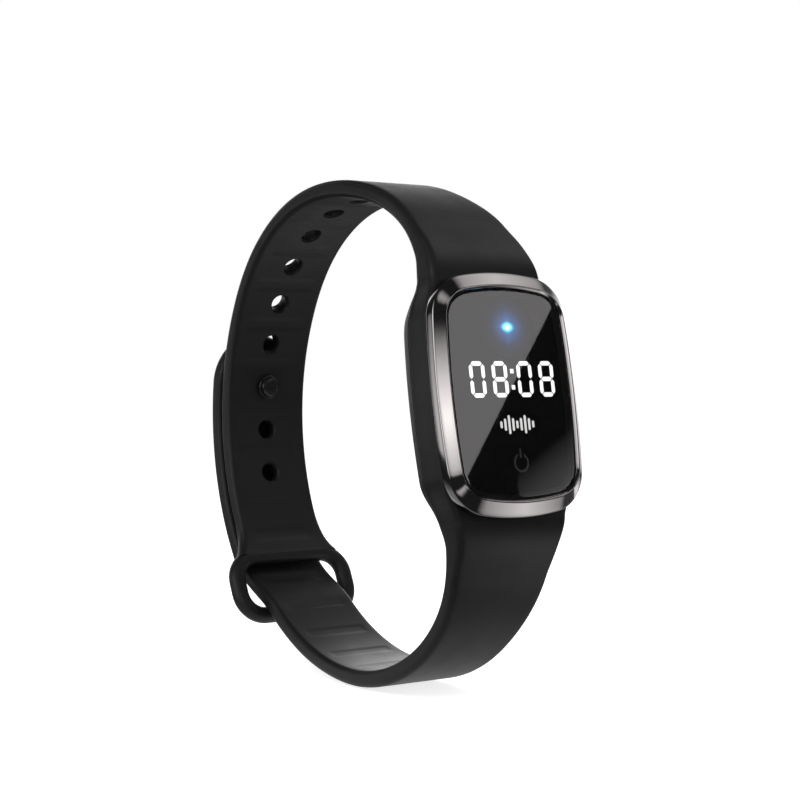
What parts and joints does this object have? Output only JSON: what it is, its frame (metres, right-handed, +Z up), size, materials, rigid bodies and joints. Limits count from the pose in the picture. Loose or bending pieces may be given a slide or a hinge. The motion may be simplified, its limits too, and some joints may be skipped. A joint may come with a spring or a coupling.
{
  "type": "wrist-worn voice recorder",
  "caption": "Wrist-worn voice recorder: silicone band with stud-and-loop clasp, and a removable case with metal bezel, smoked glass and lit read-out.",
  "frame": {"origin": "middle of the wrist opening, on the band's mid plane", "axes": "+X across the band, along the wearer's forearm; -Y is the front, where the case is; +Z is up with the case's face tilted 9.7 degrees upwards"},
  "size_m": [0.0252, 0.0732, 0.0764],
  "materials": {
    "silicone": "matt black moulded silicone",
    "stud": "matt black",
    "bezel": "polished gunmetal plating",
    "lens": "smoked, polished",
    "adhesive": "black tape",
    "mask": "black print",
    "digits": "lit white",
    "touch_print": "dark grey print",
    "light_guide": "lit blue",
    "led": "clear encapsulated",
    "board": "green solder resist",
    "copper": "copper foil",
    "case_plastic": "moulded black",
    "connector": "ivory plastic",
    "chip": "moulded package",
    "can": "plated",
    "gasket": "soft rubber",
    "foam": "closed-cell foam",
    "cell": "foil pouch",
    "cover": "fine texture",
    "screw": "blackened",
    "gold": "gold plated"
  },
  "bodies": {
    "band": {"strap": "silicone"},
    "tail": {"strap_tail": "silicone", "clasp_stud": "stud"},
    "case": {"bezel_ring": "bezel", "front_lens": "lens", "lens_adhesive": "adhesive", "display_mask": "mask", "digit_segments": "digits", "level_icon": "digits", "touch_mark": "touch_print", "status_light_guide": "light_guide", "display_leds": "led", "status_led": "led", "display_board": "board", "touch_electrode": "copper", "mid_frame": "case_plastic", "board_connector": "connector", "main_board": "board", "controller_chip": "chip", "memory_chip": "chip", "clock_crystal": "can", "microphone": "can", "microphone_gasket": "gasket", "battery_foam": "foam", "battery_cell": "cell", "battery_pad": "adhesive", "battery_tabs": "can", "housing_shell": "case_plastic", "rear_seal": "gasket", "rear_cover": "cover", "cover_screws": "screw", "charging_contacts": "gold", "contact_springs": "gold"}
  },
  "joints": [
    {"name": "tail_unsnap", "type": "hinge", "parent": "band", "child": "tail", "pos_m": [0, 0.04014, -0.01385], "axis": [-1, 0, 0], "range_deg": [0, 35]},
    {"name": "case_release", "type": "slide", "parent": "band", "child": "case", "axis": [0, -0.9857, 0.1685], "range_m": [0, 0.008]}
  ]
}
